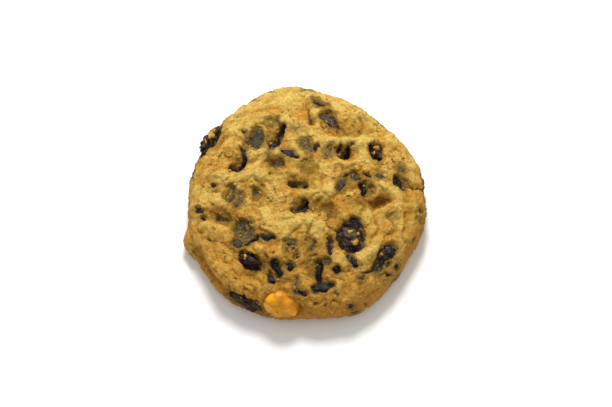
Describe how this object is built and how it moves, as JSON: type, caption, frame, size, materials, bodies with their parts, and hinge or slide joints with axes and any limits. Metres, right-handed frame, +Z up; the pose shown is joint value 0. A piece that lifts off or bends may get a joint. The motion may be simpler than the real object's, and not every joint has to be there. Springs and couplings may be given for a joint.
{
  "type": "oatmeal raisin cookie",
  "caption": "Thick round oatmeal raisin cookie with a soft hollowed top, an uneven rim, dark raisins and a golden raisin set in its top and side, and a flat base.",
  "frame": {"origin": "middle of the flat base, on the surface that the cookie lies on", "axes": "+Z up out of the flat base through the thickness, -Y towards the near rim with the golden raisin, +X to the right seen from that side"},
  "size_m": [0.0757, 0.0803, 0.0152],
  "materials": {
    "baked_dough": "dry, matt baked oat dough, light gold on the ridges, browner low down and round the fruit",
    "raisin_skin": "wrinkled blue-black to purple-brown fruit skin with a low sheen",
    "golden_raisin_skin": "amber fruit skin, slightly see-through, with a soft sheen"
  },
  "bodies": {
    "root": {"cookie": "baked_dough", "raisin_centre_right": "raisin_skin", "raisin_left_rim": "raisin_skin", "raisin_right": "raisin_skin", "raisin_front_left": "raisin_skin", "raisin_front_right": "raisin_skin", "raisin_front_rim": "raisin_skin", "raisin_right_rim": "raisin_skin", "raisin_back_rim": "raisin_skin", "golden_raisin": "golden_raisin_skin"}
  },
  "joints": []
}
